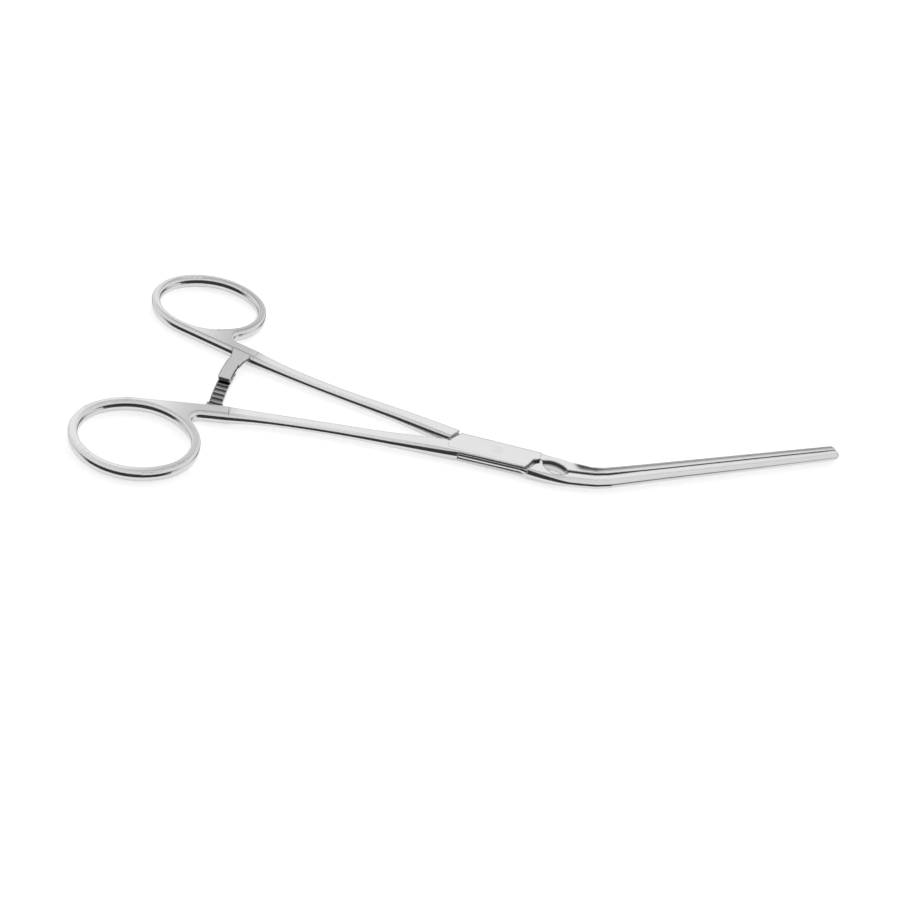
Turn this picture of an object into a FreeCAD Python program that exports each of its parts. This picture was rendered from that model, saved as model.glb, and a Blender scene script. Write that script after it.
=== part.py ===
"""Vascular tissue forceps: a box-lock ring-handled clamp with long angled jaws, in millimetres.

The clamp lies flat. X runs from the finger rings to the jaws, Y across both handles, Z up.
The origin is the pivot axis at the underside of the box lock.
Three pieces: box_half (near handle, both lock cheeks, far jaw), tongue_half (far handle,
the tongue that runs through the lock, near jaw) and pivot_pin (riveted flush).
"""
import FreeCAD, Part
from FreeCAD import Vector
import math
import os

# Lock
LOCK_THICKNESS = 3.6
CHEEK_THICKNESS = 1.05
TONGUE_FACE_PLAY = 0.05
SLOT_RADIUS = 10.3
SLOT_END_PLAY = 0.15
PIN_RADIUS = 1.6
PIN_PLAY = 0.03
LOCK_EDGE_BREAK = 0.12
CHEEK_TOP_PLAY = 0.01
# Cheek outline in plan: the near side hides inside the near cheek, the notch lets the near jaw's shoulder in
LOCK_NEAR = ((-12.3, -1.4), (-12.3, -3.7), (7.9, -2.7))
NOTCH_CORNER = (9.3, 0.2)
NOTCH_TOP = (10.95, 0.9)
LOCK_FAR_FRONT = (11.1, 3.35)
LOCK_FAR_BACK = (-9.6, 2.7)
LOCK_CROTCH = (-11.7, -0.1)
NOTCH_REACH = 5.0
# Near cheek: (inner plan point, outer plan point, edge rounding)
NEAR_CHEEK = (
    ((-8.5, -1.5), (-8.7, -4.25), 0.3),
    ((-3.0, -1.5), (-3.0, -3.95), 0.25),
    ((8.6, -1.1), (7.4, -3.45), 0.2),
)
CHEEK_INNER_ROUND = 0.3
# Ends of the slot, where the tongue half leaves the lock at the back and at the front
SLOT_BACK = ((-14.0, 0.45), (-12.6, 0.45), (-9.0, 0.1), (-9.0, 6.0), (-14.0, 6.0))
SLOT_FRONT = ((5.0, -0.1), (5.0, -8.0), (14.0, -8.0), (14.0, -0.1))
# Tongue half at the lock: slanted shoulders, thin tongue and the two links that join it to them
SHOULDER_BACK_IN = (-12.55, 0.5)
SHOULDER_BACK_OUT = (-10.4, 3.7)
SHOULDER_FRONT = ((6.3, -8.0), (8.5, -3.7), (10.0, -1.3), (10.95, -0.8))
TONGUE_STRIP = ((-10.2, -4.1), (-10.2, 2.55), (9.9, 3.2), (9.9, -0.7), (7.3, -3.2))
BACK_LINK = ((-13.4, 0.75), (-11.0, 3.6), (-8.0, 2.5), (-6.0, -0.5), (-9.7, 0.3), (-12.6, 0.6))
FRONT_LINK = ((6.0, -3.1), (8.55, -3.65), (11.0, -1.0), (9.0, -0.6), (6.0, 0.5))

# Finger rings and web
RING_X = -83.3
RING_Y = 27.7
RING_HOLE_LONG = 26.2
RING_HOLE_SHORT = 21.5
RING_END_RADIUS = 9.2
RING_BAR = 2.1
RING_HEIGHT = 3.5
RIM_ROUND = 0.95
HOLE_ROUND = 0.8
WEB_CORNER_ROUND = 2.2
WEB_REACH = 14.0
WEB_OVERLAP = 3.0
WEB_STEP = 0.03

# Shanks, from the web to the lock: (x from the ring's centre, centre y, width, height, corner rounding)
SHANK_FROM_RING = (
    (17.5, 11.7, 3.7, 3.4, 0.9),
    (23.5, 10.25, 3.15, 2.75, 0.85),
    (32.5, 8.45, 2.9, 2.4, 0.8),
    (44.5, 6.5, 2.9, 2.45, 0.75),
    (56.5, 4.9, 3.25, 2.85, 0.7),
)
SHANK_STATIONS = tuple((RING_X + station[0],) + station[1:] for station in SHANK_FROM_RING)
# Shank ends at the lock, with x from the pivot
BOX_SHANK_END = ((-16.8, 3.4, 3.85, 3.42, 0.6), (-12.6, 2.85, 3.9, 3.55, 0.5))
TONGUE_SHANK_END = (
    (-16.8, 3.1, 3.65, 3.42, 0.6),
    (-12.6, 2.35, 3.6, 3.55, 0.5),
    (-8.0, 1.65, 3.6, 3.58, 0.45),
)

# Jaws: the closing line runs from the eye to the bend and on to the tip
EYE_START = (11.6, 0.65)
EYE_END = (18.6, -0.6)
EYE_CREST_FAR = (13.9, 1.5)
EYE_CREST_NEAR = (15.3, -3.05)
BEND_POINT = (26.3, 1.0)
JAW_ANGLE = 29.5
JAW_LENGTH = 83.1
BEND_RADIUS = 22.0
TAB_PLAY = 0.12
RELIEF_GAP = 1.0
CLOSED_GAP = 0.16
STRAIGHT_START = 28.0
STRAIGHT_MIDDLE = 57.0
# Necks beside the eye: (x, outer edge y, height, back rounding)
FAR_NECK = (
    (9.8, 3.2, 3.5, 0.3),
    (12.6, 3.45, 3.5, 0.7),
    (15.2, 3.7, 3.42, 1.05),
    (17.4, 3.75, 3.32, 1.2),
)
NEAR_NECK = (
    (7.4, -3.9, 3.54, 0.25),
    (10.6, -4.1, 3.54, 0.4),
    (13.2, -4.15, 3.5, 0.6),
    (15.8, -4.05, 3.42, 0.85),
    (17.6, -3.9, 3.35, 1.1),
)
# Jaws along the closing line: (distance from the eye, far width, near width, height, back rounding)
JAW_STATIONS = (
    (0.0, 4.4, 3.15, 3.25, 1.3),
    (7.8, 3.05, 2.95, 3.1, 1.3),
    (16.0, 2.85, 2.8, 3.0, 1.3),
    (STRAIGHT_START, 2.7, 2.65, 2.95, 1.3),
    (STRAIGHT_MIDDLE, 2.4, 2.6, 2.8, 1.25),
    (JAW_LENGTH, 2.15, 2.25, 2.45, 1.1),
)
BEND_SECTIONS = 8
JAW_INNER_ROUND = 0.12
TIP_ROUND = 1.2
TIP_STEPS = 5
TIP_FLAT = 0.35

# Fine tooth rows on the closing faces: two rows on the near jaw, one between them on the far jaw
JAW_TOOTH_PITCH = 0.62
JAW_TOOTH_DEPTH = 0.26
TOOTH_ROW_START = 21.0
TOOTH_ROW_END = 80.5
TOOTH_LAND = 0.04
ROW_HALF_GAP = 0.4

# Ratchet
ARM_RADIUS = 70.55
ARM_WIDTH = 3.2
ARM_THICKNESS = 1.2
TOOTH_PITCH = 1.75
TOOTH_HEIGHT = 0.45
TOOTH_PLAY = 0.05
BOX_TEETH = 8
BOX_TEETH_START = -9.95
BOX_ARM_END = 4.6
TONGUE_TEETH = 3
TONGUE_ARM_END = -0.3
TONGUE_NECK = 3.613
ARM_END_ROUND = 0.5
ARM_BITE = 1.3
# Arm roots: (x from the arm's middle, y from the handle's edge), with the side where the arm leaves last
TONGUE_ROOT = ((-1.6, 1.2), (-1.1, -1.2), (-0.95, -3.6), (2.05, -5.2), (2.6, -2.8), (3.1, -1.2), (4.4, 1.0))
BOX_ROOT = ((-1.55, 1.2), (-1.55, -2.6), (1.55, -4.6), (1.9, -3.6), (2.7, -2.4), (3.6, 0.9))

MID = LOCK_THICKNESS / 2.0
SLOT_LOW = CHEEK_THICKNESS
SLOT_HIGH = LOCK_THICKNESS - CHEEK_THICKNESS
TONGUE_LOW = SLOT_LOW + TONGUE_FACE_PLAY
TONGUE_HIGH = SLOT_HIGH - TONGUE_FACE_PLAY
MARGIN = 1.0
BIG = 60.0


def vectors(points):
    """Plan points (x, y) as vectors at height zero."""
    return [Vector(x, y, 0) for x, y in points]


def polygon(points):
    """Plan face bounded by straight lines through the points."""
    corners = vectors(points)
    return Part.Face(Part.makePolygon(corners + corners[:1]))


def polyline(points):
    """Straight edges through the plan points, in order."""
    corners = vectors(points)
    return [Part.makeLine(a, b) for a, b in zip(corners, corners[1:])]


def arc(start, through, end):
    """Circular edge through three plan points."""
    return Part.Arc(*vectors((start, through, end))).toShape()


def prism(face, low=-MARGIN, high=LOCK_THICKNESS + MARGIN):
    """Extrude a plan face from height low to height high; without heights it cuts right through the clamp."""
    solid = face.extrude(Vector(0, 0, high - low))
    solid.translate(Vector(0, 0, low))
    return solid


def outline(edges):
    """Plan face inside a closed chain of edges."""
    return Part.Face(Part.Wire(Part.__sortEdges__(edges)))


def on_side(points, side):
    """Plan points given for the far handle, put on the far (1) or the near (-1) side."""
    return [(x, side * y) for x, y in points]


def oval_side():
    """Radius of the long sides of the ring's hole, and how far their centres lie from its middle."""
    half_long = RING_HOLE_LONG / 2.0
    half_short = RING_HOLE_SHORT / 2.0
    end_reach = half_long - RING_END_RADIUS
    radius = end_reach ** 2 + half_short ** 2 - RING_END_RADIUS ** 2
    radius = radius / (2.0 * (half_short - RING_END_RADIUS))
    return radius, radius - half_short, end_reach


def oval(centre, grown):
    """Plan face of the ring's hole, grown by a margin: two end arcs and two flatter side arcs."""
    radius, drop, end_reach = oval_side()
    angle = math.atan2(drop, end_reach)
    edges = []
    for x, y, size, middle, spread in (
        (end_reach, 0.0, RING_END_RADIUS, 0.0, angle),
        (0.0, -drop, radius, math.pi / 2.0, math.pi / 2.0 - angle),
        (-end_reach, 0.0, RING_END_RADIUS, math.pi, angle),
        (0.0, drop, radius, -math.pi / 2.0, math.pi / 2.0 - angle),
    ):
        reach = size + grown
        points = []
        for turn in (middle - spread, middle, middle + spread):
            points.append((centre[0] + x + reach * math.cos(turn), centre[1] + y + reach * math.sin(turn)))
        edges.append(arc(*points))
    return Part.Face(Part.Wire(edges))


def disc(radius):
    """Plan face inside a circle about the pivot."""
    return Part.Face(Part.Wire(Part.makeCircle(radius)))


def one_solid(shape):
    """The single solid of a boolean result."""
    joined = shape.removeSplitter()
    if len(joined.Solids) != 1:
        raise ValueError("expected one solid, found %d" % len(joined.Solids))
    return joined.Solids[0]


def fused(shapes):
    """One solid out of overlapping solids."""
    return one_solid(shapes[0].fuse(list(shapes[1:])))


def round_uprights(solid, chosen, radius):
    """Fillet the upright edges at the plan places that are chosen."""
    edges = []
    for edge in solid.Edges:
        a = edge.Vertexes[0].Point
        b = edge.Vertexes[-1].Point
        if abs(a.x - b.x) + abs(a.y - b.y) < 1e-6 and abs(a.z - b.z) > radius and chosen(a.x, a.y):
            edges.append(edge)
    return solid.makeFillet(radius, edges)


def round_rims(solid, chosen, radius):
    """Fillet the edges round the top and bottom faces whose middle point is chosen."""
    edges = []
    for edge in solid.Edges:
        if edge.BoundBox.ZMin < MID < edge.BoundBox.ZMax:
            continue
        middle = edge.valueAt((edge.FirstParameter + edge.LastParameter) / 2.0)
        if chosen(middle.x, middle.y):
            edges.append(edge)
    return solid.makeFillet(radius, edges)


def section(inner, outer, height, inner_round, outer_round):
    """Upright section with four rounded corners between two plan points, as a closed wire."""
    width = math.hypot(outer[0] - inner[0], outer[1] - inner[1])
    run_x = (outer[0] - inner[0]) / width
    run_y = (outer[1] - inner[1]) / width
    low = MID - height / 2.0
    high = MID + height / 2.0
    corners = ((0.0, low, inner_round), (width, low, outer_round), (width, high, outer_round), (0.0, high, inner_round))
    ways = ((0, -1), (1, 0), (0, 1), (-1, 0), (0, -1))

    def place(across, up):
        return Vector(inner[0] + across * run_x, inner[1] + across * run_y, up)

    arcs = []
    for index, (across, up, radius) in enumerate(corners):
        arriving = ways[index]
        leaving = ways[index + 1]
        sag = radius * (1.0 - math.sqrt(0.5))
        start = place(across - radius * arriving[0], up - radius * arriving[1])
        through = place(across + sag * (leaving[0] - arriving[0]), up + sag * (leaving[1] - arriving[1]))
        end = place(across + radius * leaving[0], up + radius * leaving[1])
        arcs.append((start, through, end))
    edges = []
    for index, (start, through, end) in enumerate(arcs):
        edges.append(Part.Arc(start, through, end).toShape())
        edges.append(Part.makeLine(end, arcs[(index + 1) % 4][0]))
    return Part.Wire(edges)


def loft(sections, straight=True):
    """Solid skinned over the sections with straight runs from each to the next."""
    solid = Part.makeLoft(sections, True, straight).Solids[0]
    if solid.Volume < 0:
        solid.reverse()
    return solid


def station_points(stations, index, inset=0.0):
    """Inner and outer plan points of one shank station, square to the run of the shank, and its slope."""
    x, y, width = stations[index][:3]
    width = width - 2.0 * inset
    before = stations[max(index - 1, 0)]
    after = stations[min(index + 1, len(stations) - 1)]
    slope = math.atan2(after[1] - before[1], after[0] - before[0])
    across = -math.sin(slope) * width / 2.0
    up = math.cos(slope) * width / 2.0
    return (x - across, y - up), (x + across, y + up), slope


def tangent_point(corner):
    """Point where a line from the corner touches the far ring, on the side of the other handle."""
    radius, drop, _ = oval_side()
    radius = radius + RING_BAR
    across = corner[0] - RING_X
    up = corner[1] - RING_Y - drop
    angle = math.atan2(up, across) - math.acos(radius / math.hypot(across, up))
    return (RING_X + radius * math.cos(angle), RING_Y + drop + radius * math.sin(angle))


def handle_edge(x):
    """How far the edge of a handle that faces the other one lies from the middle line, beside its web or ring."""
    corner, _, slope = station_points(SHANK_STATIONS, 0)
    touch = tangent_point(corner)
    if x > corner[0]:
        return corner[1] + (x - corner[0]) * math.tan(slope)
    if x > touch[0]:
        return corner[1] + (x - corner[0]) * (touch[1] - corner[1]) / (touch[0] - corner[0])
    radius, drop, _ = oval_side()
    return RING_Y + drop - math.sqrt((radius + RING_BAR) ** 2 - (x - RING_X) ** 2)


def finer(stations):
    """The stations with one more between each pair, on a smooth curve through them all."""
    slopes = []
    for index in range(len(stations)):
        before = stations[max(index - 1, 0)]
        after = stations[min(index + 1, len(stations) - 1)]
        slopes.append([(b - a) / (after[0] - before[0]) for a, b in zip(before, after)])
    result = [stations[0]]
    for index in range(1, len(stations)):
        a = stations[index - 1]
        b = stations[index]
        eighth = (b[0] - a[0]) / 8.0
        bends = zip(a, b, slopes[index - 1], slopes[index])
        result.append(tuple((low + high) / 2.0 + eighth * (first - last) for low, high, first, last in bends))
        result.append(b)
    return result


def shank(side, stations, last_sections):
    """Shank from the web to the lock, with any further sections that carry it on."""
    stations = finer(stations)
    sections = []
    for index, (x, y, width, height, rounding) in enumerate(stations):
        inset = WEB_STEP if index == 0 else 0.0
        inner, outer, slope = station_points(stations, index, inset)
        if index == 0:
            back_x = -WEB_OVERLAP * math.cos(slope)
            back_y = -WEB_OVERLAP * math.sin(slope)
            behind = [(px + back_x, py + back_y) for px, py in (inner, outer)]
            sections.append(section(*on_side(behind, side), height - 2.0 * inset, rounding, rounding))
        sections.append(section(*on_side([inner, outer], side), height - 2.0 * inset, rounding, rounding))
    return loft(sections + last_sections, True)


def ring_and_web(side):
    """Finger ring and the web that joins it to the start of the shank, with rounded rims."""
    centre = (RING_X, RING_Y)
    inner, outer, slope = station_points(SHANK_STATIONS, 0)
    touch = tangent_point(inner)
    back = (outer[0] - WEB_REACH * math.cos(slope), outer[1] - WEB_REACH * math.sin(slope))
    low = MID - RING_HEIGHT / 2.0
    high = MID + RING_HEIGHT / 2.0
    web = prism(polygon(on_side([touch, centre, back, outer, inner], side)), low, high)
    ring = prism(oval((RING_X, side * RING_Y), RING_BAR), low, high)
    blank = fused([ring, web])
    web_x = outer[0] - WEB_REACH
    inside_web = outer[0] - MARGIN
    blank = round_uprights(blank, lambda x, y: web_x < x < inside_web and abs(y) > outer[1], WEB_CORNER_ROUND)
    end = (inner[0] + outer[0]) / 2.0
    blank = round_rims(blank, lambda x, y: x < end - 0.2, RIM_ROUND)
    ring_x = RING_X + RING_HOLE_LONG
    blank = blank.cut(prism(oval((RING_X, side * RING_Y), 0.0))).Solids[0]
    hole_reach = RING_HOLE_SHORT / 2.0 + RING_BAR / 2.0
    radius, drop, end_reach = oval_side()

    def on_hole(x, y):
        across = abs(x - RING_X)
        up = abs(abs(y) - RING_Y)
        on_end = abs(math.hypot(across - end_reach, up) - RING_END_RADIUS) < 0.05 * RING_BAR
        on_long = abs(math.hypot(across, up + drop) - radius) < 0.05 * RING_BAR
        return x < ring_x and up < hole_reach and (on_end or on_long)

    return round_rims(blank, on_hole, HOLE_ROUND)


def closing_line(distance):
    """Place and left-hand normal on the closing line, at a distance from the eye."""
    run_x = BEND_POINT[0] - EYE_END[0]
    run_y = BEND_POINT[1] - EYE_END[1]
    first_angle = math.atan2(run_y, run_x)
    turn = math.radians(JAW_ANGLE) - first_angle
    setback = BEND_RADIUS * math.tan(turn / 2.0)
    straight = math.hypot(run_x, run_y) - setback
    bend = BEND_RADIUS * turn
    if distance <= straight:
        angle = first_angle
        x = EYE_END[0] + distance * math.cos(angle)
        y = EYE_END[1] + distance * math.sin(angle)
    elif distance <= straight + bend:
        angle = first_angle + (distance - straight) / BEND_RADIUS
        x = EYE_END[0] + straight * math.cos(first_angle)
        y = EYE_END[1] + straight * math.sin(first_angle)
        x += BEND_RADIUS * (math.sin(angle) - math.sin(first_angle))
        y += BEND_RADIUS * (math.cos(first_angle) - math.cos(angle))
    else:
        angle = math.radians(JAW_ANGLE)
        beyond = distance - straight - bend + setback
        x = BEND_POINT[0] + beyond * math.cos(angle)
        y = BEND_POINT[1] + beyond * math.sin(angle)
    return (x, y), (-math.sin(angle), math.cos(angle))


def beside(distance, offset):
    """Plan point at an offset to the far side of the closing line."""
    (x, y), (across, up) = closing_line(distance)
    return (x + offset * across, y + offset * up)


def jaw_values(distance):
    """Far width, near width, height and back rounding at a distance from the eye."""
    for before, after in zip(JAW_STATIONS, JAW_STATIONS[1:]):
        if distance <= after[0] + 1e-9:
            share = (distance - before[0]) / (after[0] - before[0])
            return [a + share * (b - a) for a, b in zip(before[1:], after[1:])]
    return list(JAW_STATIONS[-1][1:])


def jaw_section(side, distance, scale=1.0):
    """Section of one jaw square to the closing line, shrunk towards the line near the tip."""
    far_width, near_width, height, rounding = jaw_values(distance)
    width = far_width if side > 0 else near_width
    share = min(distance / STRAIGHT_START, 1.0)
    fade = (1.0 - share) * (1.0 - share) * (1.0 + 2.0 * share)
    gap = (CLOSED_GAP + (RELIEF_GAP - CLOSED_GAP) * fade) / 2.0
    inner = beside(distance, side * gap)
    outer = beside(distance, side * (gap + (width - gap) * scale))
    rounding = min(rounding, 0.47 * height, width - gap - JAW_INNER_ROUND - 0.1) * scale
    return section(inner, outer, height * scale, JAW_INNER_ROUND * scale, rounding)


def tooth_row(side, low, high):
    """Cutter for one row of fine V teeth along the closing face of a jaw, between two heights."""
    root = side * (CLOSED_GAP / 2.0 + JAW_TOOTH_DEPTH)
    land = side * TOOTH_LAND
    count = int((TOOTH_ROW_END - TOOTH_ROW_START) / JAW_TOOTH_PITCH)
    points = [beside(TOOTH_ROW_START, -side * RELIEF_GAP)]
    for index in range(count):
        distance = TOOTH_ROW_START + index * JAW_TOOTH_PITCH
        points += [beside(distance, land), beside(distance + JAW_TOOTH_PITCH / 2.0, root)]
    end = TOOTH_ROW_START + count * JAW_TOOTH_PITCH
    points += [beside(end, land), beside(end, -side * RELIEF_GAP)]
    return prism(polygon(points), low, high)


def jaw(side, neck):
    """Neck, jaw and rounded tip of one half: side 1 is the far jaw, -1 the near jaw."""
    root = []
    for x, outer_y, height, rounding in neck:
        share = (x - EYE_START[0]) / (EYE_END[0] - EYE_START[0])
        line_y = EYE_START[1] + share * (EYE_END[1] - EYE_START[1])
        gap = TAB_PLAY + max(share, 0.0) * (RELIEF_GAP - TAB_PLAY)
        root.append(section((x, line_y + side * gap / 2.0), (x, outer_y), height, JAW_INNER_ROUND, rounding))
    root.append(jaw_section(side, 0.0))
    bend = [jaw_section(side, STRAIGHT_START * index / BEND_SECTIONS) for index in range(BEND_SECTIONS + 1)]
    tip_start = JAW_LENGTH - TIP_ROUND
    straight = [jaw_section(side, distance) for distance in (STRAIGHT_START, STRAIGHT_MIDDLE, tip_start)]
    tip = []
    for index in range(TIP_STEPS):
        share = 0.97 * math.sin(math.pi / 2.0 * index / (TIP_STEPS - 1.0))
        scale = TIP_FLAT + (1.0 - TIP_FLAT) * math.sqrt(1.0 - share * share)
        tip.append(jaw_section(side, tip_start + TIP_ROUND * share, scale))
    return loft(root + bend[1:] + straight[1:], True).fuse(loft(tip, True))


def eye_prism():
    """Upright cutter for the opening between the necks."""
    far_tab = (EYE_START[0], EYE_START[1] + TAB_PLAY / 2.0)
    near_tab = (EYE_START[0], EYE_START[1] - TAB_PLAY / 2.0)
    far_end = beside(0.0, RELIEF_GAP / 2.0)
    near_end = beside(0.0, -RELIEF_GAP / 2.0)
    edges = [arc(far_tab, EYE_CREST_FAR, far_end), arc(near_tab, EYE_CREST_NEAR, near_end)]
    edges += polyline([far_end, near_end]) + polyline([near_tab, far_tab])
    return prism(outline(edges))


def rack(first, pitch, count, bottom, root, tip, start, end):
    """Sawtooth bar along Y: vertical tooth faces at first, first + pitch and so on."""
    points = [(start, bottom), (start, root)]
    for index in range(count):
        y = first + index * pitch
        points += [(y, root), (y, tip)]
    points += [(first + count * pitch, root), (end, root), (end, bottom)]
    corners = []
    for y, z in points:
        if not corners or abs(corners[-1].y - y) + abs(corners[-1].z - z) > 1e-6:
            corners.append(Vector(-BIG * 1.5, y, z))
    face = Part.Face(Part.makePolygon(corners + corners[:1]))
    bar = face.extrude(Vector(BIG * 1.4, 0, 0))
    band = disc(ARM_RADIUS + ARM_WIDTH / 2.0).cut(disc(ARM_RADIUS - ARM_WIDTH / 2.0))
    return bar.common(prism(band.Faces[0])).Solids[0]


def arm_root(side, shape, low, high):
    """Plate that widens a ratchet arm into its handle."""
    edge = handle_edge(-ARM_RADIUS)
    points = [(x - ARM_RADIUS, edge + y) for x, y in shape]
    return prism(polygon(on_side(points, side)), low, high)


def box_arm():
    """Lower ratchet arm of the box half, teeth up, catching faces towards the near handle."""
    tip = MID - TOOTH_PLAY / 2.0
    root = tip - TOOTH_HEIGHT
    low = root - ARM_THICKNESS
    start = -handle_edge(-ARM_RADIUS) - ARM_BITE
    bar = rack(BOX_TEETH_START, TOOTH_PITCH, BOX_TEETH, low, root, tip, start, BOX_ARM_END)
    return bar.fuse(arm_root(-1, BOX_ROOT, low, root))


def tongue_arm():
    """Upper ratchet arm of the tongue half, teeth down, catching faces towards the far handle."""
    tip = MID + TOOTH_PLAY / 2.0
    root = tip + TOOTH_HEIGHT
    top = root + ARM_THICKNESS
    last = TONGUE_ARM_END + TONGUE_TEETH * TOOTH_PITCH
    start = handle_edge(-ARM_RADIUS) - TONGUE_NECK
    bar = rack(last, -TOOTH_PITCH, TONGUE_TEETH, top, root, tip, start, TONGUE_ARM_END)
    bar = round_uprights(bar, lambda x, y: y < TONGUE_ARM_END + ARM_END_ROUND, ARM_END_ROUND)
    return bar.fuse(arm_root(1, TONGUE_ROOT, root, top))


def box_half():
    """Near handle, block with both cheeks, and far jaw; the slot and the pin bore are cut through."""
    cheek_height = LOCK_THICKNESS - CHEEK_TOP_PLAY
    near = []
    for inner, outer, rounding in NEAR_CHEEK:
        near.append(section(inner, outer, cheek_height, CHEEK_INNER_ROUND, rounding))
    handle = [ring_and_web(-1), shank(-1, SHANK_STATIONS + BOX_SHANK_END, near[:1]), loft(near, True), box_arm()]
    points = LOCK_NEAR + (NOTCH_CORNER, NOTCH_TOP, LOCK_FAR_FRONT, LOCK_FAR_BACK, LOCK_CROTCH)
    block = prism(polygon(points), 0, LOCK_THICKNESS)
    block = round_rims(block, lambda x, y: True, LOCK_EDGE_BREAK)
    below = -2.0 * LOCK_THICKNESS
    notch = [(NOTCH_REACH, below), (NOTCH_REACH, NOTCH_CORNER[1]), NOTCH_CORNER, NOTCH_TOP, (NOTCH_TOP[0], below)]
    far_jaw = jaw(1, FAR_NECK).cut([eye_prism(), tooth_row(1, MID - ROW_HALF_GAP, MID + ROW_HALF_GAP)])
    body = fused(handle + [block, far_jaw.cut(prism(polygon(notch)))])
    body = body.cut(prism(disc(SLOT_RADIUS), SLOT_LOW, SLOT_HIGH))
    for opening in (SLOT_BACK, SLOT_FRONT):
        body = body.cut(prism(polygon(opening), SLOT_LOW, SLOT_HIGH))
    return one_solid(body.cut(prism(disc(PIN_RADIUS))))


def tongue_half():
    """Far handle, thin tongue through the lock, and near jaw; the pin bore is cut through."""
    shank_blank = shank(1, SHANK_STATIONS + TONGUE_SHANK_END, [])
    run_x = SHOULDER_BACK_OUT[0] - SHOULDER_BACK_IN[0]
    run_y = SHOULDER_BACK_OUT[1] - SHOULDER_BACK_IN[1]
    below = (SHOULDER_BACK_IN[0] - run_x, SHOULDER_BACK_IN[1] - run_y)
    above = (SHOULDER_BACK_OUT[0] + run_x, SHOULDER_BACK_OUT[1] + run_y)
    shank_blank = shank_blank.cut(prism(polygon([below, above, (0.0, above[1]), (0.0, below[1])])))
    handle = [ring_and_web(1), shank_blank, tongue_arm()]
    tongue = prism(disc(SLOT_RADIUS - SLOT_END_PLAY).common(polygon(TONGUE_STRIP)).Faces[0], TONGUE_LOW, TONGUE_HIGH)
    links = [prism(polygon(link), TONGUE_LOW, TONGUE_HIGH) for link in (BACK_LINK, FRONT_LINK)]
    first = SHOULDER_FRONT[0]
    last = SHOULDER_FRONT[-1]
    front = [(0.0, first[1])] + list(SHOULDER_FRONT) + [(last[0], LOCK_THICKNESS), (0.0, LOCK_THICKNESS)]
    rows = [tooth_row(-1, MID + ROW_HALF_GAP, LOCK_THICKNESS + MARGIN), tooth_row(-1, -MARGIN, MID - ROW_HALF_GAP)]
    near_jaw = jaw(-1, NEAR_NECK).cut([eye_prism(), prism(polygon(front))] + rows)
    body = fused(handle + [tongue] + links + [near_jaw])
    return one_solid(body.cut(prism(disc(PIN_RADIUS + PIN_PLAY))))


def pivot_pin():
    """Pin riveted flush with both cheeks."""
    return prism(disc(PIN_RADIUS), 0, LOCK_THICKNESS)


if __name__ == "__main__":
    os.makedirs("parts", exist_ok=True)
    for name, build in (("box_half", box_half), ("tongue_half", tongue_half), ("pivot_pin", pivot_pin)):
        solid = build()
        print(name, solid.isValid(), round(solid.Volume, 2), len(solid.Faces), solid.BoundBox, flush=True)
        solid.exportStep("parts/%s.step" % name)
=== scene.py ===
"""Vascular tissue forceps on a white studio table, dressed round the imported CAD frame."""
import logging
import math
from dataclasses import dataclass, field
from enum import Enum

import bpy
from mathutils import Matrix, Vector

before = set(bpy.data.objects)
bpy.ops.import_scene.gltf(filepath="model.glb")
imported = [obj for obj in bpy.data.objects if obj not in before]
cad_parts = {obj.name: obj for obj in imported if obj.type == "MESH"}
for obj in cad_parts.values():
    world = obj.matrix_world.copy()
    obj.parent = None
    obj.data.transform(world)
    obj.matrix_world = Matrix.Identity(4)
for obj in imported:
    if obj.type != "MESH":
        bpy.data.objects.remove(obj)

log = logging.getLogger("forceps")
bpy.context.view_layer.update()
MM = 0.001

Socket = bpy.types.NodeSocket
Span = tuple[float, float]
Colour = tuple[float, float, float, float]
FULL = (0.0, 1.0)


class Piece(Enum):
    """Nodes of the clamp that get a finish."""

    BOX_HALF = "box_half"
    TONGUE_HALF = "tongue_half"
    PIVOT_PIN = "pivot_pin"


class Sum(Enum):
    """Sums that a Math node works out here."""

    ADD = "ADD"
    SUBTRACT = "SUBTRACT"
    MULTIPLY = "MULTIPLY"
    POWER = "POWER"
    ROOT = "SQRT"
    SIZE = "ABSOLUTE"
    SMALLER = "MINIMUM"
    LARGER = "MAXIMUM"


class Blend(Enum):
    """What a Mix node blends: its data type, its two inputs and its output."""

    VALUE = ("FLOAT", 2, 3, 0)
    VECTOR = ("VECTOR", 4, 5, 1)
    COLOUR = ("RGBA", 6, 7, 2)


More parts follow.
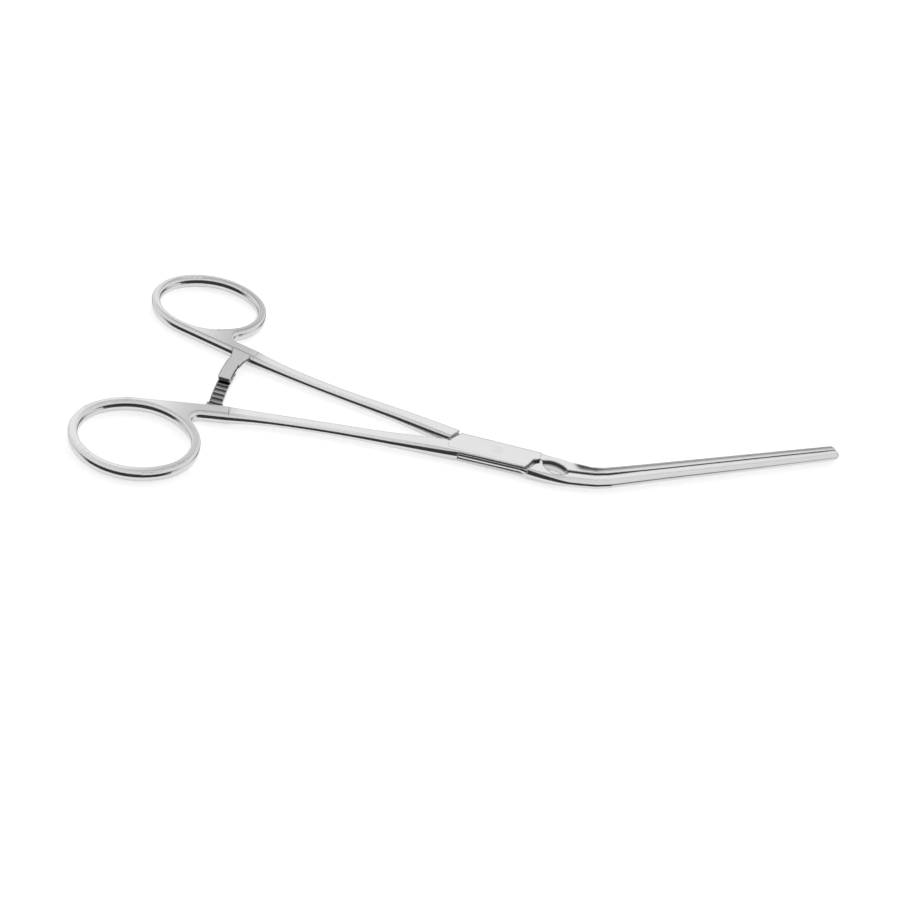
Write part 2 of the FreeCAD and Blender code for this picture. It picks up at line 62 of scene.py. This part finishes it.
class Graph:
    """Small helper that adds and joins the nodes of one node tree."""

    def __init__(self, tree: bpy.types.NodeTree) -> None:
        """Empty the tree and keep it.

        Args:
            tree: Node tree of a material or of the world.
        """
        self.tree = tree
        self.tree.nodes.clear()

    def add(self, kind: str, inputs: dict | None = None, **settings: object) -> bpy.types.Node:
        """Add a node, set its properties, and set or join its inputs.

        Args:
            kind: Blender's type name for the node.
            inputs: Socket name or index to a value or to another node's output.
            settings: Properties of the node.

        Returns:
            The new node.
        """
        node = self.tree.nodes.new(kind)
        for name, value in settings.items():
            setattr(node, name, value)
        for key, value in (inputs or {}).items():
            if isinstance(value, Socket):
                self.tree.links.new(value, node.inputs[key])
            else:
                node.inputs[key].default_value = value
        return node

    def work_out(self, kind: Sum, first: object, second: object = 0.0, clamp: bool = False) -> Socket:
        """Work out a sum of two values or sockets.

        Args:
            kind: Which sum it is.
            first: First value or socket.
            second: Second value or socket.
            clamp: Whether the result is kept between 0 and 1.

        Returns:
            The result.
        """
        inputs = {0: first, 1: second}
        return self.add("ShaderNodeMath", inputs, operation=kind.value, use_clamp=clamp).outputs[0]

    def times(self, first: object, second: object) -> Socket:
        """Multiply two values or sockets."""
        return self.work_out(Sum.MULTIPLY, first, second)

    def bowl(self, value: Socket, bend: float) -> Socket:
        """Return a height that falls away with the square of a distance above 0, by its bend."""
        above = self.work_out(Sum.LARGER, value, 0.0)
        return self.times(self.times(above, above), -bend / MM)

    def remap(self, value: Socket, old: Span, new: Span = FULL) -> Socket:
        """Carry a value smoothly from one range into another.

        Args:
            value: Socket to read.
            old: Range it is read in.
            new: Range it is given out in.

        Returns:
            The carried value.
        """
        inputs = {"Value": value, "From Min": old[0], "From Max": old[1], "To Min": new[0], "To Max": new[1]}
        return self.add("ShaderNodeMapRange", inputs, interpolation_type="SMOOTHSTEP").outputs["Result"]

    def mix(self, share: Socket, first: object, second: object, blend: Blend = Blend.VALUE) -> Socket:
        """Blend two values, vectors or colours.

        Args:
            share: Share of the second one.
            first: What shows where the share is 0.
            second: What shows where the share is 1.
            blend: Which of the three is blended.

        Returns:
            The blend.
        """
        data_type, first_input, second_input, output = blend.value
        inputs = {0: share, first_input: first, second_input: second}
        return self.add("ShaderNodeMix", inputs, data_type=data_type).outputs[output]

    def noise(self, place: Socket, scale: float, detail: float) -> Socket:
        """Return grey noise over a place.

        Args:
            place: Coordinates.
            scale: How many blotches fit in one unit.
            detail: How fine the noise is broken up.

        Returns:
            The noise.
        """
        inputs = {"Vector": place, "Scale": scale, "Detail": detail}
        return self.add("ShaderNodeTexNoise", inputs).outputs["Fac"]

    def stretched(self, place: Socket, scale: Vector) -> Socket:
        """Stretch coordinates by a scale along each axis."""
        return self.add("ShaderNodeMapping", {"Vector": place, "Scale": scale}).outputs[0]

    def true_normal(self) -> Socket:
        """Return the normal of the mesh itself."""
        return self.add("ShaderNodeNewGeometry").outputs["Normal"]


@dataclass(frozen=True)
class Spot:
    """Where a shaded point of the clamp lies: all three coordinates, and each one by itself."""

    place: Socket
    along: Socket
    across: Socket
    height: Socket

    @classmethod
    def read(cls, graph: Graph) -> "Spot":
        """Add the nodes that read the point's place to a material."""
        place = graph.add("ShaderNodeTexCoord").outputs["Object"]
        return cls(place, *graph.add("ShaderNodeSeparateXYZ", {0: place}).outputs)


@dataclass(frozen=True)
class Masks:
    """What kind of face a shaded point is on, and the noises over it."""

    flat: Socket
    web: Socket
    cloud: Socket
    grain: Socket
    wear_and_highlight: Socket


@dataclass(frozen=True)
class ClosingLine:
    """Line where the jaws meet: from the eye to the bend, and on to the tip.

    Lengths are in mm and angles in degrees.
    """

    bend_x: float = 26.3
    bend_y: float = 1.0
    root_angle: float = 11.7
    jaw_angle: float = 29.5
    jaws_start: float = 18.0
    jaws_fade: float = 4.0

    def offset(self, graph: Graph, spot: Spot) -> Socket:
        """Return how far a place on the jaws lies to the far side of the line, and 0 behind the jaws.

        Args:
            graph: Node tree of the material.
            spot: Where the shaded point lies.

        Returns:
            The distance in metres.
        """
        along = graph.work_out(Sum.SUBTRACT, spot.along, self.bend_x * MM)
        across = graph.work_out(Sum.SUBTRACT, spot.across, self.bend_y * MM)
        sides = []
        for angle in (self.root_angle, self.jaw_angle):
            turn = math.radians(angle)
            rise = graph.times(across, math.cos(turn))
            sides.append(graph.work_out(Sum.SUBTRACT, rise, graph.times(along, math.sin(turn))))
        nearest = graph.work_out(Sum.SMALLER, *sides)
        start = self.jaws_start * MM
        on_jaws = graph.remap(spot.along, (start, (self.jaws_start + self.jaws_fade) * MM))
        return graph.times(nearest, on_jaws)


@dataclass(frozen=True)
class SteelFinish:
    """Ground stainless steel: satin flats painted paler than the sides as painted light, brighter polished
    sides, matt webs, worn edges with a painted highlight, and painted shade in crevices.

    Lengths and places are in mm. The rest are shares, or values as the nodes take them.
    """

    name: str
    # Painted light: faces that look up or down get a paler colour than the sides, as lit and shaded copies
    # of one steel.
    lit_flat_colour: Colour = (0.83, 0.83, 0.835, 1.0)
    shaded_side_colour: Colour = (0.7, 0.7, 0.71, 1.0)
    flat_tilt: Span = (0.72, 0.97)
    flat_roughness: float = 0.2
    side_roughness: float = 0.13
    web_roughness: float = 0.32
    web_shade: float = 0.8
    web_start: float = -84.0
    web_start_fade: float = 12.0
    web_end: float = -62.0
    web_end_fade: float = 6.0
    cloud_scale: float = 0.16
    cloud_detail: float = 3.0
    cloud_span: Span = (0.3, 0.7)
    cloud_shade: float = 0.96
    cloud_roughness: float = 0.1
    grain_length: float = 3.0
    grain_width: float = 0.07
    grain_detail: float = 2.0
    grain_roughness: float = 0.05
    grain_strength: float = 0.35
    grain_height: float = 0.0035
    edge_radius: float = 0.42
    edge_samples: int = 6
    # Edge mask for real wear polish in the roughness and a painted highlight in the colour.
    wear_and_highlight_likeness: Span = (0.99, 0.8)
    wear_and_highlight_clouds: Span = (0.35, 0.65)
    wear_and_highlight_share: Span = (0.3, 1.0)
    wear_highlight_gain: float = 0.12
    wear_polish: float = 0.06
    crown_start: float = 1.1
    crown_bend: float = 0.3
    jaw_crown_bend: float = 0.05
    pin_edge: float = 2.0
    pin_clear: float = 2.6
    # Painted shade: ambient occlusion darkens the colour in crevices and gaps.
    crevice_shade_reach: float = 1.0
    crevice_shade_samples: int = 8
    crevice_shade_power: float = 1.8
    crevice_shade_from: float = 0.4
    crevice_shade_full: float = 1.5

    def build(self) -> bpy.types.Material:
        """Make the material.

        Returns:
            The material with its node tree filled.
        """
        material = bpy.data.materials.new(self.name)
        material.use_nodes = True
        graph = Graph(material.node_tree)
        spot = Spot.read(graph)
        soft = self.soft_edges(graph, spot)
        masks = self.read_masks(graph, spot, soft)
        inputs = {
            "Base Color": self.colour(graph, spot, masks),
            "Metallic": 1.0,
            "Roughness": self.roughness(graph, masks),
            "Normal": self.relief(graph, spot, masks, soft),
        }
        shader = graph.add("ShaderNodeBsdfPrincipled", inputs)
        graph.add("ShaderNodeOutputMaterial", {"Surface": shader.outputs[0]})
        return material

    def soft_edges(self, graph: Graph, spot: Spot) -> Socket:
        """Round the normals over the edges, apart from the seam of the pin, which is ground flush.

        Args:
            graph: Node tree of the material.
            spot: Where the shaded point lies.

        Returns:
            The normal.
        """
        inputs = {"Radius": self.edge_radius * MM}
        bevel = graph.add("ShaderNodeBevel", inputs, samples=self.edge_samples).outputs[0]
        along = graph.times(spot.along, spot.along)
        across = graph.times(spot.across, spot.across)
        from_pin = graph.work_out(Sum.ROOT, graph.work_out(Sum.ADD, along, across))
        away = graph.remap(from_pin, (self.pin_edge * MM, self.pin_clear * MM))
        return graph.mix(away, graph.true_normal(), bevel, Blend.VECTOR)

    def read_masks(self, graph: Graph, spot: Spot, soft: Socket) -> Masks:
        """Work out the masks and noises that the colour, the roughness and the relief share.

        Args:
            graph: Node tree of the material.
            spot: Where the shaded point lies.
            soft: Normal rounded over the edges.

        Returns:
            The masks.
        """
        flat = self.flatness(graph)
        cloud = graph.noise(spot.place, self.cloud_scale / MM, self.cloud_detail)
        run = Vector((1.0 / self.grain_length, 1.0 / self.grain_width, 1.0 / self.grain_width)) / MM
        grain = graph.noise(graph.stretched(spot.place, run), 1.0, self.grain_detail)
        web = self.web_zone(graph, spot, flat)
        return Masks(flat, web, cloud, grain, self.worn_and_highlit_edges(graph, soft, cloud))

    def flatness(self, graph: Graph) -> Socket:
        """Return 1 on faces that look straight up or down and 0 on the sides."""
        normal = graph.add("ShaderNodeTexCoord").outputs["Normal"]
        up = graph.add("ShaderNodeSeparateXYZ", {0: normal}).outputs[2]
        return graph.remap(graph.work_out(Sum.SIZE, up), self.flat_tilt)

    def web_zone(self, graph: Graph, spot: Spot, flat: Socket) -> Socket:
        """Return 1 on the flats of the webs and ratchet arms, which are left matt.

        Args:
            graph: Node tree of the material.
            spot: Where the shaded point lies.
            flat: Mask of the flats.

        Returns:
            The mask.
        """
        rise = (self.web_start * MM, (self.web_start + self.web_start_fade) * MM)
        fall = ((self.web_end - self.web_end_fade) * MM, self.web_end * MM)
        begin = graph.remap(spot.along, rise)
        end = graph.remap(spot.along, fall, (1.0, 0.0))
        return graph.times(graph.times(begin, end), flat)

    def worn_and_highlit_edges(self, graph: Graph, soft: Socket, cloud: Socket) -> Socket:
        """Return a broken mask along the edges, where handling has polished the steel and where a highlight
        is painted into the colour.

        Args:
            graph: Node tree of the material.
            soft: Normal rounded over the edges.
            cloud: Slow noise that breaks the wear up.

        Returns:
            The mask.
        """
        inputs = {0: soft, 1: graph.true_normal()}
        likeness = graph.add("ShaderNodeVectorMath", inputs, operation="DOT_PRODUCT").outputs["Value"]
        edge = graph.remap(likeness, self.wear_and_highlight_likeness)
        return graph.times(edge, graph.remap(cloud, self.wear_and_highlight_clouds, self.wear_and_highlight_share))

    def roughness(self, graph: Graph, masks: Masks) -> Socket:
        """Work out the roughness: smooth sides, satin flats, matt webs, and drift with both noises.

        Args:
            graph: Node tree of the material.
            masks: Kinds of face and noises.

        Returns:
            The roughness.
        """
        rough = graph.remap(masks.flat, FULL, (self.side_roughness, self.flat_roughness))
        rough = graph.mix(masks.web, rough, self.web_roughness)
        drift = graph.times(graph.work_out(Sum.SUBTRACT, masks.cloud, 0.5), self.cloud_roughness)
        streak = graph.times(graph.work_out(Sum.SUBTRACT, masks.grain, 0.5), self.grain_roughness)
        rough = graph.work_out(Sum.ADD, graph.work_out(Sum.ADD, rough, drift), streak)
        return graph.work_out(Sum.SUBTRACT, rough, graph.times(masks.wear_and_highlight, self.wear_polish), clamp=True)

    def colour(self, graph: Graph, spot: Spot, masks: Masks) -> Socket:
        """Work out the colour: flats painted paler than the sides as painted light, darker webs, painted
        shade in crevices, and worn edges with a painted highlight.

        Args:
            graph: Node tree of the material.
            spot: Where the shaded point lies.
            masks: Kinds of face and noises.

        Returns:
            The colour.
        """
        # Painted light: flats are painted paler than the sides by the direction they face.
        base = graph.mix(masks.flat, self.shaded_side_colour, self.lit_flat_colour, Blend.COLOUR)
        shade = graph.remap(masks.cloud, self.cloud_span, (self.cloud_shade, 1.0))
        shade = graph.times(shade, graph.mix(masks.web, 1.0, self.web_shade))
        # Painted highlight, partly real wear: the colour is made brighter along the worn edges.
        shade = graph.work_out(Sum.ADD, shade, graph.times(masks.wear_and_highlight, self.wear_highlight_gain))
        # Painted shade: the colour darkens with ambient occlusion in crevices and gaps, faded out near the
        # table.
        reach = {"Distance": self.crevice_shade_reach * MM}
        crevice = graph.add("ShaderNodeAmbientOcclusion", reach, samples=self.crevice_shade_samples)
        painted_shade = graph.work_out(Sum.POWER, crevice.outputs["AO"], self.crevice_shade_power)
        above = graph.remap(spot.height, (self.crevice_shade_from * MM, self.crevice_shade_full * MM))
        shade = graph.times(shade, graph.mix(above, 1.0, painted_shade))
        return graph.add("ShaderNodeVectorMath", {0: base, 3: shade}, operation="SCALE").outputs[0]

    def relief(self, graph: Graph, spot: Spot, masks: Masks, soft: Socket) -> Socket:
        """Bend the normals: sides ground slightly round, softened edges and brushed grain.

        Args:
            graph: Node tree of the material.
            spot: Where the shaded point lies.
            masks: Kinds of face and noises.
            soft: Normal rounded over the edges.

        Returns:
            The normal.
        """
        above = graph.work_out(Sum.SUBTRACT, spot.height, self.crown_start * MM)
        back = graph.bowl(ClosingLine().offset(graph, spot), self.jaw_crown_bend)
        crown = graph.work_out(Sum.ADD, graph.bowl(above, self.crown_bend), back)
        crowned = {"Height": crown, "Strength": 1.0, "Distance": 1.0, "Normal": soft}
        brushed = {
            "Height": masks.grain,
            "Strength": self.grain_strength,
            "Distance": self.grain_height * MM,
            "Normal": graph.add("ShaderNodeBump", crowned).outputs[0],
        }
        return graph.add("ShaderNodeBump", brushed).outputs[0]


@dataclass
class Clamp:
    """The CAD nodes, which keep their shape and get their steel here."""

    finishes: dict[Piece, SteelFinish] = field(default_factory=lambda: {
        Piece.BOX_HALF: SteelFinish("satin_box_steel"),
        Piece.TONGUE_HALF: SteelFinish("satin_tongue_steel"),
        Piece.PIVOT_PIN: SteelFinish("ground_pin_steel", flat_roughness=0.27),
    })

    def dress(self) -> None:
        """Give every node its finish."""
        for piece, finish in self.finishes.items():
            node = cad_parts[piece.value]
            node.data.materials.clear()
            node.data.materials.append(finish.build())
            log.info("dressed %s with %s", piece.value, finish.name)


@dataclass
class Studio:
    """White table, a bright ceiling, a dark band all round, and a narrow soft box at each side.

    The floor's half width is in metres. The bands and boxes are shares of a direction's length.
    """

    floor_half: float = 3.0
    floor_colour: Colour = (0.86, 0.86, 0.86, 1.0)
    floor_glow: float = 0.58
    sky_colour: Colour = (1.0, 1.0, 1.0, 1.0)
    ceiling: float = 0.98
    gloom: float = 0.05
    band_low: float = 0.38
    band_high: float = 0.57
    front_span: Span = (-0.5, 0.3)
    front_rise: float = 0.47
    box_light: float = 0.95
    box_inner: float = 0.74
    box_outer: float = 0.93

    def build_floor(self) -> None:
        """Make the pale table top under the clamp."""
        half = self.floor_half
        mesh = bpy.data.meshes.new("table_top")
        corners = [(-half, -half, 0), (half, -half, 0), (half, half, 0), (-half, half, 0)]
        mesh.from_pydata(corners, [], [(0, 1, 2, 3)])
        floor = bpy.data.objects.new("table_top", mesh)
        bpy.context.scene.collection.objects.link(floor)
        mesh.materials.append(self.table_white())
        log.info("laid the table top")

    def table_white(self) -> bpy.types.Material:
        """Make the table's matt white, with a glow that only the camera and the steel see.

        Returns:
            The material with its node tree filled.
        """
        material = bpy.data.materials.new("table_white")
        material.use_nodes = True
        graph = Graph(material.node_tree)
        rays = graph.add("ShaderNodeLightPath")
        seen = graph.work_out(Sum.LARGER, rays.outputs["Is Camera Ray"], rays.outputs["Is Glossy Ray"])
        matt = graph.add("ShaderNodeBsdfDiffuse", {"Color": self.floor_colour})
        glow = graph.add("ShaderNodeEmission", {"Strength": graph.times(seen, self.floor_glow)})
        both = graph.add("ShaderNodeAddShader", {0: matt.outputs[0], 1: glow.outputs[0]})
        graph.add("ShaderNodeOutputMaterial", {"Surface": both.outputs[0]})
        return material

    def build_world(self) -> None:
        """Make the surroundings: bright above, dark round the horizon, white to the camera."""
        world = bpy.data.worlds.new("studio")
        world.use_nodes = True
        bpy.context.scene.world = world
        graph = Graph(world.node_tree)
        way = graph.add("ShaderNodeTexCoord").outputs["Generated"]
        right, forward, up = graph.add("ShaderNodeSeparateXYZ", {0: way}).outputs
        front = graph.remap(forward, self.front_span, (self.front_rise, 0.0))
        above = graph.work_out(Sum.SUBTRACT, up, front)
        dome = graph.remap(above, (self.band_low, self.band_high), (self.gloom, self.ceiling))
        aside = graph.work_out(Sum.SIZE, right)
        boxes = graph.remap(aside, (self.box_inner, self.box_outer), (0.0, self.box_light))
        light = graph.work_out(Sum.LARGER, dome, boxes)
        seen = graph.add("ShaderNodeLightPath").outputs["Is Camera Ray"]
        inputs = {"Color": self.sky_colour, "Strength": graph.mix(seen, light, 1.0)}
        sky = graph.add("ShaderNodeBackground", inputs)
        graph.add("ShaderNodeOutputWorld", {"Surface": sky.outputs[0]})
        log.info("lit the studio")


@dataclass(frozen=True)
class PhotoCamera:
    """Camera at the photograph's viewpoint: angles in degrees, places in metres, lens and sensor in mm."""

    elevation: float = 41.0828627
    turn: float = 0.9046819
    roll: float = -15.64585456
    distance: float = 302.39092277 * MM
    shift_right: float = 11.16983769 * MM
    shift_up: float = -2.49399928 * MM
    lens: float = 48.0
    sensor: float = 36.0
    clip_start: float = 0.01
    clip_end: float = 20.0

    def axes(self) -> Matrix:
        """Return the camera's right, up and forward directions as the columns of a matrix."""
        tilt = math.radians(self.elevation)
        rise = math.sin(tilt)
        reach = math.cos(tilt)
        looks = Matrix(((1, 0, 0), (0, rise, reach), (0, reach, -rise)))
        roll = Matrix.Rotation(math.radians(self.roll), 3, "Z")
        turn = Matrix.Rotation(math.radians(self.turn), 3, "Z")
        return (roll @ looks @ turn).transposed()

    def build(self) -> bpy.types.Object:
        """Make the camera and give it to the scene.

        Returns:
            The camera object.
        """
        columns = self.axes()
        place = columns @ Vector((-self.shift_right, -self.shift_up, -self.distance))
        look_back = Matrix.Diagonal((1, 1, -1))
        data = bpy.data.cameras.new("photo_camera")
        data.lens = self.lens
        data.sensor_width = self.sensor
        data.clip_start = self.clip_start
        data.clip_end = self.clip_end
        camera = bpy.data.objects.new("photo_camera", data)
        camera.matrix_world = Matrix.Translation(place) @ (columns @ look_back).to_4x4()
        bpy.context.scene.collection.objects.link(camera)
        bpy.context.scene.camera = camera
        log.info("placed the camera")
        return camera


def main() -> None:
    """Dress the clamp, then build the studio and the camera."""
    logging.basicConfig(level=logging.INFO, format="%(name)s: %(message)s")
    bpy.context.scene.view_settings.view_transform = "Standard"
    Clamp().dress()
    studio = Studio()
    studio.build_floor()
    studio.build_world()
    PhotoCamera().build()


if __name__ == "__main__":
    main()
